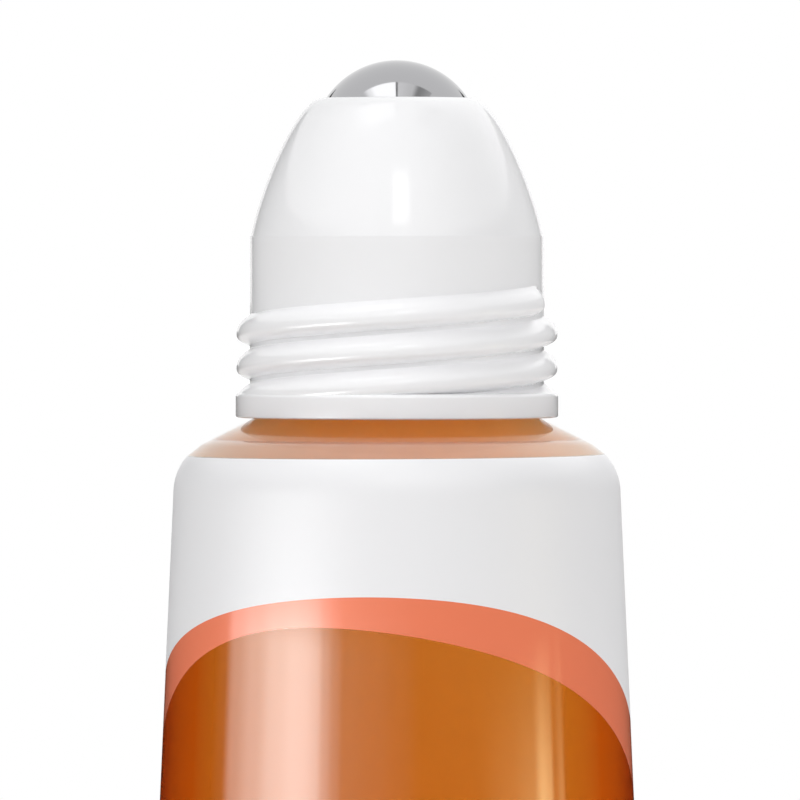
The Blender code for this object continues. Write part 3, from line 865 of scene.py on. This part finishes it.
def housing_stretches(housing, colours):
    """The housing's section, a ring: down the dome, skirt, threads and flange, then up the inside."""
    plastic = moulded_polypropylene(colours)
    socket = BALL_RADIUS + housing.socket_clearance
    lip_sphere = BALL_RADIUS + housing.lip_clearance
    lip_rise = LIP - BALL_CENTRE
    mouth = math.sqrt(lip_sphere**2 - lip_rise**2)
    dome_foot = HOUSING_FOOT + housing.dome_foot
    start = Vector((mouth + housing.lip_land, LIP))
    foot = Vector((housing.skirt_radius - housing.dome_step, dome_foot))
    lean = Vector((-math.sin(housing.dome_lean), math.cos(housing.dome_lean)))
    curve = (start, start + Vector((housing.lip_pull, 0)), foot + housing.dome_foot_pull * lean, foot)
    dome = []
    for step in range(DOME_ROWS + 1):
        t = step / DOME_ROWS
        s = 1 - t
        point = s**3 * curve[0] + 3 * s * s * t * curve[1] + 3 * s * t * t * curve[2] + t**3 * curve[3]
        dome.append(tuple(point))
    flange_top = housing.flange_thickness
    flat_edge = housing.flange_radius - housing.flange_rounding

    def skirt_ring(height):
        def at(angle):
            fillet = 0
            over = height - flange_top
            if over < housing.root_rounding:
                left = 1 - over / housing.root_rounding
                fillet = housing.root_rounding * (1 - math.sqrt(1 - left * left))
            radius = housing.skirt_radius + max(thread_rise(housing, angle, height), fillet)
            return radius, HOUSING_FOOT + height

        return at

    def flange_ring(radius, height):
        def at(angle):
            thread = housing.skirt_radius + thread_rise(housing, angle, height - HOUSING_FOOT)
            return max(radius, thread), height

        return at

    rows = math.ceil((housing.dome_foot - flange_top) / THREAD_ROW)
    skirt = [
        skirt_ring(housing.dome_foot - (housing.dome_foot - flange_top) * step / rows)
        for step in range(rows + 1)
    ]
    flange = rounded(
        [
            (flat_edge - THREAD_ROW / 2, HOUSING_FOOT + flange_top, 0),
            (housing.flange_radius, HOUSING_FOOT + flange_top, housing.flange_rounding),
            (housing.flange_radius, HOUSING_FOOT, housing.flange_foot_rounding),
            (housing.bore_radius, HOUSING_FOOT, 0),
        ]
    )
    flange = [flange_ring(*point) if point[1] > HOUSING_FOOT + flange_top / 2 else point for point in flange]
    inside = [(housing.bore_radius, WEB), (socket, WEB), (socket, BALL_CENTRE)]
    for step in range(1, LIP_ROWS + 1):
        angle = math.asin(lip_rise / lip_sphere) * step / LIP_ROWS
        blend = socket + (lip_sphere - socket) * ease(step / LIP_BLEND_ROWS)
        inside.append((blend * math.cos(angle), BALL_CENTRE + blend * math.sin(angle)))
    return [(dome + skirt + flange + inside, plastic)]


class OILBOTTLE_OT_housing(bpy.types.Operator):
    """Moulds the roller housing with its dome, threads and flange"""

    bl_idname = "oil_bottle.housing"
    bl_label = "Roller housing"

    def execute(self, context):
        bottle = context.scene.oil_bottle
        stretches = housing_stretches(bottle.housing, bottle.colours)
        piece = round_mesh("moulded_housing", stretches, SEGMENTS, closed=True)
        seat(piece, "bottle", "white_polypropylene", "roller_housing")
        return {"FINISHED"}


class OILBOTTLE_OT_ball(bpy.types.Operator):
    """Grinds and polishes the ball"""

    bl_idname = "oil_bottle.ball"
    bl_label = "Steel ball"

    def execute(self, context):
        bottle = context.scene.oil_bottle
        count = BALL_SEGMENTS // 2
        rings = [(0, BALL_CENTRE + BALL_RADIUS)]
        for step in range(1, count):
            angle = math.pi * step / count
            rings.append((BALL_RADIUS * math.sin(angle), BALL_CENTRE + BALL_RADIUS * math.cos(angle)))
        rings.append((0, BALL_CENTRE - BALL_RADIUS))
        piece = round_mesh("steel_ball", [(rings, polished_steel(bottle.colours))], BALL_SEGMENTS)
        seat(piece, "ball", "polished_steel", "roller_ball")
        return {"FINISHED"}


def wound_spring(low, high, material):
    """Round wire wound between two heights, with one closed turn at each end."""
    foot = low.z + SPRING_WIRE / 2
    top = high.z - SPRING_WIRE / 2
    radius = high.x - SPRING_WIRE / 2
    open_rise = (top - foot - 2 * CLOSED_RISE) / (SPRING_TURNS - 2)
    points = []
    for step in range(SPRING_TURNS * SPRING_STEPS + 1):
        turn = step / SPRING_STEPS
        closed = min(turn, 1) + max(turn - SPRING_TURNS + 1, 0)
        angle = 2 * math.pi * turn
        height = foot + closed * CLOSED_RISE + (turn - closed) * open_rise
        points.append((radius * math.cos(angle), radius * math.sin(angle), height, 1))
    curve = bpy.data.curves.new("spring_path", "CURVE")
    curve.dimensions = "3D"
    curve.bevel_depth = SPRING_WIRE / 2
    curve.bevel_resolution = WIRE_BEVEL
    curve.use_fill_caps = True
    spline = curve.splines.new("POLY")
    spline.points.add(len(points) - 1)
    for knot, point in zip(spline.points, points):
        knot.co = point
    path = add_object("spring_path", curve)
    bpy.context.view_layer.update()
    mesh = bpy.data.meshes.new_from_object(path.evaluated_get(bpy.context.evaluated_depsgraph_get()))
    bpy.data.objects.remove(path)
    mesh.materials.clear()
    mesh.materials.append(material)
    mesh.shade_smooth()
    mesh.set_sharp_from_angle(angle=SMOOTH_ANGLE)
    return add_object("wound_spring", mesh)


class OILBOTTLE_OT_inner(bpy.types.Operator):
    """Finishes the cup, spring, plug and gasket inside the neck"""

    bl_idname = "oil_bottle.inner"
    bl_label = "Inner pieces"

    def execute(self, context):
        colours = context.scene.oil_bottle.colours
        plastic = natural_polyethylene(colours)
        finishes = {
            "ball_cup": plastic,
            "spring_plug": plastic,
            "neck_gasket": moulded_rubber(colours),
        }
        for node, material in finishes.items():
            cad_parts[node].data.materials.clear()
            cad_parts[node].data.materials.append(material)
        low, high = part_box("ball_spring")
        spring = wound_spring(low, high, spring_steel(colours))
        seat(spring, "bottle", "spring_steel", "ball_spring")
        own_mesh(spring)
        return {"FINISHED"}


def studio_world(stage):
    """A white room: rays from the camera, gloss and glass see it at 1, and plain surfaces at the fill."""
    world = bpy.data.worlds.new("studio")
    bpy.context.scene.world = world
    world.use_nodes = True
    tree = world.node_tree
    path = add_node(tree, "ShaderNodeLightPath")
    seen = path.outputs["Is Camera Ray"]
    for ray in ("Is Glossy Ray", "Is Transmission Ray"):
        either = add_node(tree, "ShaderNodeMath", {0: seen, 1: path.outputs[ray]}, operation="MAXIMUM")
        seen = either.outputs[0]
    level = add_node(tree, "ShaderNodeMapRange", {"Value": seen, "To Min": stage.fill, "To Max": 1.0})
    background = tree.nodes["Background"]
    background.inputs["Color"].default_value = (1, 1, 1, 1)
    tree.links.new(level.outputs["Result"], background.inputs["Strength"])


def aim(item, position, target):
    """Puts a lamp or a camera at a position and turns it to a target."""
    item.location = position
    item.rotation_euler = (Vector(target) - Vector(position)).to_track_quat("-Z", "Y").to_euler()


def around(azimuth, distance, height):
    """A point at an azimuth from the camera's side, positive to the right, at a distance and height."""
    angle = math.radians(azimuth)
    return distance * math.sin(angle), -distance * math.cos(angle), height


def lamp(name, position, width, height, radiance, glossy):
    """A rectangular softbox with a given radiance, aimed at the bottle."""
    data = bpy.data.lights.new(name, "AREA")
    data.shape = "RECTANGLE"
    data.size = width
    data.size_y = height
    data.energy = radiance * math.pi * width * height
    item = add_object(name, data)
    aim(item, position, MIDDLE)
    item.visible_camera = False
    item.visible_glossy = glossy


def studio_lamps():
    """The soft light on plain surfaces, with one small lamp that gloss reflects."""
    for row in (
        ("left_light", around(-63, 0.8, 0.38), 0.4, 0.4, 5.4, False),
        ("front_light", around(0, 0.8, 0.5), 0.4, 0.4, 0.3, False),
        ("right_light", around(45, 0.8, 0.38), 0.4, 0.4, 5.6, False),
        ("top_light", (-0.25, -0.1, 0.8), 0.5, 0.5, 2.1, False),
        ("back_light", around(148, 0.8, 0.65), 0.4, 0.4, 12, False),
        ("front_spot", around(4, 0.45, 0.38), 0.12, 0.16, 3.0, True),
    ):
        lamp(*row)


def softbox_material(name, radiance, levels, tint=(1, 1, 1), top=1.0, fade_from=0.0):
    """A glow that follows levels along its length, and from fade_from up falls to a share at the top."""
    # A softbox's white cloth, lit from behind: it shines softly, with no hard edge
    material = bpy.data.materials.new(name)
    material.use_nodes = True
    tree = material.node_tree
    tree.nodes.remove(tree.nodes["Principled BSDF"])
    cloth = add_node(tree, "ShaderNodeTexCoord").outputs["UV"]
    spot = add_node(tree, "ShaderNodeSeparateXYZ", {"Vector": cloth})
    fall = {
        "Value": spot.outputs["Y"],
        "From Min": fade_from,
        "To Min": radiance,
        "To Max": radiance * top,
    }
    fading = add_node(tree, "ShaderNodeMapRange", fall).outputs["Result"]
    ramp = add_node(tree, "ShaderNodeValToRGB", {"Fac": spot.outputs["X"]})
    ramp.color_ramp.interpolation = "EASE"
    elements = ramp.color_ramp.elements
    while len(elements) < len(levels):
        elements.new(0.5)
    for element, (position, grey) in zip(elements, levels):
        element.position = position
        element.color = (grey, grey, grey, 1)
    factors = {0: ramp.outputs["Color"], 1: fading}
    strength = add_node(tree, "ShaderNodeMath", factors, operation="MULTIPLY").outputs[0]
    emission = add_node(tree, "ShaderNodeEmission", {"Strength": strength, "Color": (*tint, 1)})
    tree.links.new(emission.outputs[0], tree.nodes["Material Output"].inputs["Surface"])
    return material


def card(name, rows, material):
    """A card between two rows of points, which everything but the camera sees."""
    steps = len(rows[0]) - 1
    faces = [(i, i + 1, i + steps + 2, i + steps + 1) for i in range(steps)]
    mesh = bpy.data.meshes.new(name)
    mesh.from_pydata(rows[0] + rows[1], [], faces)
    layer = mesh.uv_layers.new(name="UVMap")
    for loop in mesh.loops:
        index = loop.vertex_index
        layer.data[loop.index].uv = ((index % (steps + 1)) / steps, index // (steps + 1))
    mesh.materials.append(material)
    item = add_object(name, mesh)
    item.visible_camera = False
    return item


def curved_card(name, azimuths, heights, distance, material):
    """A card bent round the bottle between two azimuths and two heights."""
    start, end = azimuths
    turns = [start + (end - start) * step / CARD_STEPS for step in range(CARD_STEPS + 1)]
    return card(name, [[around(turn, distance, height) for turn in turns] for height in heights], material)


def hide_from(item, *rays):
    """Hides a card from some kinds of ray."""
    for ray in rays:
        setattr(item, "visible_" + ray, False)


def studio_cards():
    """Black cards that draw the glass's dark edges, and the softboxes that shine on it."""
    # Black flock: it swallows light, so the glass that bends towards it looks dark
    black = principled("black_flock", linear("101010"), roughness=1.0, specular_ior_level=0.0)
    for side, azimuths, low_azimuths in (
        ("left", (-158, -48), (-172, -48)),
        ("right", (48, 158), (48, 172)),
    ):
        low = curved_card("low_card_" + side, low_azimuths, (CARD_FOOT, CARD_WAIST), CARD_DISTANCE, black)
        hide_from(low, "shadow")
        high = curved_card("high_card_" + side, azimuths, (CARD_WAIST, SIDE_CARD_TOP), CARD_DISTANCE, black)
        hide_from(high, "shadow", "transmission")
    front = curved_card("low_card_front", (-48, 48), (CARD_FOOT, FRONT_CARD_TOP), CARD_DISTANCE, black)
    hide_from(front, "diffuse", "shadow")
    glow = softbox_material("left_glow", 10, LEFT_LEVELS, top=0.0, fade_from=0.85)
    left = curved_card("left_softbox", (-97.5, 11.8), (0.0, 0.0424), 0.10, glow)
    hide_from(left, "diffuse", "shadow", "transmission")
    glow = softbox_material("right_glow", 12, RIGHT_LEVELS, linear("FFEDAE"), top=0.0)
    right = curved_card("right_strip", (36, 88), (0.018, 0.039), 0.20, glow)
    hide_from(right, "diffuse", "shadow", "transmission")
    glow = softbox_material("overhead_glow", 2.2, OVERHEAD_LEVELS)
    rows = [[(end, side, 0.36) for end in (-0.2, 0.2)] for side in (-0.13, 0.02)]
    overhead = card("overhead_softbox", rows, glow)
    hide_from(overhead, "diffuse", "shadow")


def floor(bottle):
    """A round floor that the bottle stands on."""
    # Matt painted board: an even pale grey without gloss
    material = principled("pale_floor", bottle.colours.floor, roughness=0.8, specular_ior_level=0.0)
    relief(material, noise(material.node_tree, 0.002), 0.00001)
    disc = round_mesh("floor", [([(bottle.stage.floor_radius, 0), (0, 0)], material)], SEGMENTS)
    disc.data.flip_normals()
    disc.location.z = -FLOOR_GAP


def camera(stage):
    """The camera, level with the housing and a long way off."""
    data = bpy.data.cameras.new("camera")
    position = Vector((stage.camera_side, -stage.camera_distance, stage.camera_height))
    target = Vector((stage.camera_side, 0, stage.aim_height))
    data.sensor_width = SENSOR
    data.lens = SENSOR * (target - position).length / stage.frame_width
    data.clip_start = NEAR_CLIP
    item = add_object("camera", data)
    aim(item, position, target)
    bpy.context.scene.camera = item


class OILBOTTLE_OT_stage(bpy.types.Operator):
    """Sets up the floor, the studio light and the camera"""

    bl_idname = "oil_bottle.stage"
    bl_label = "Stage"

    def execute(self, context):
        bottle = context.scene.oil_bottle
        scene = context.scene
        scene.view_settings.view_transform = "Standard"
        scene.cycles.max_bounces = 32
        scene.cycles.transmission_bounces = 32
        scene.cycles.transparent_max_bounces = 16
        studio_world(bottle.stage)
        studio_lamps()
        studio_cards()
        floor(bottle)
        camera(bottle.stage)
        return {"FINISHED"}


class OILBOTTLE_PT_panel(bpy.types.Panel):
    """Lists the steps, and every size and colour"""

    bl_idname = "OILBOTTLE_PT_panel"
    bl_label = "Oil bottle"
    bl_space_type = "VIEW_3D"
    bl_region_type = "UI"
    bl_category = "Oil Bottle"

    def draw(self, context):
        for operator in OPERATORS:
            self.layout.operator(operator.bl_idname)
        bottle = context.scene.oil_bottle
        for group in (bottle.glass, bottle.sleeve, bottle.housing, bottle.colours, bottle.stage):
            box = self.layout.box()
            for name in group.__annotations__:
                box.prop(group, name)


GROUPS = (
    BottleGlassSizes,
    BottleSleeveSizes,
    BottleHousingSizes,
    BottleColours,
    BottleStageSizes,
    OilBottle,
)
OPERATORS = (
    OILBOTTLE_OT_glass,
    OILBOTTLE_OT_oil,
    OILBOTTLE_OT_sleeve,
    OILBOTTLE_OT_housing,
    OILBOTTLE_OT_ball,
    OILBOTTLE_OT_inner,
    OILBOTTLE_OT_stage,
)


def register():
    for item in (*GROUPS, *OPERATORS, OILBOTTLE_PT_panel):
        bpy.utils.register_class(item)
    bpy.types.Scene.oil_bottle = bpy.props.PointerProperty(type=OilBottle)


def unregister():
    del bpy.types.Scene.oil_bottle
    for item in reversed((*GROUPS, *OPERATORS, OILBOTTLE_PT_panel)):
        bpy.utils.unregister_class(item)


def main():
    """Builds the bottle and its stage."""
    register()
    bpy.ops.oil_bottle.glass()
    bpy.ops.oil_bottle.oil()
    bpy.ops.oil_bottle.sleeve()
    bpy.ops.oil_bottle.housing()
    bpy.ops.oil_bottle.ball()
    bpy.ops.oil_bottle.inner()
    bpy.ops.oil_bottle.stage()


if __name__ == "__main__":
    main()
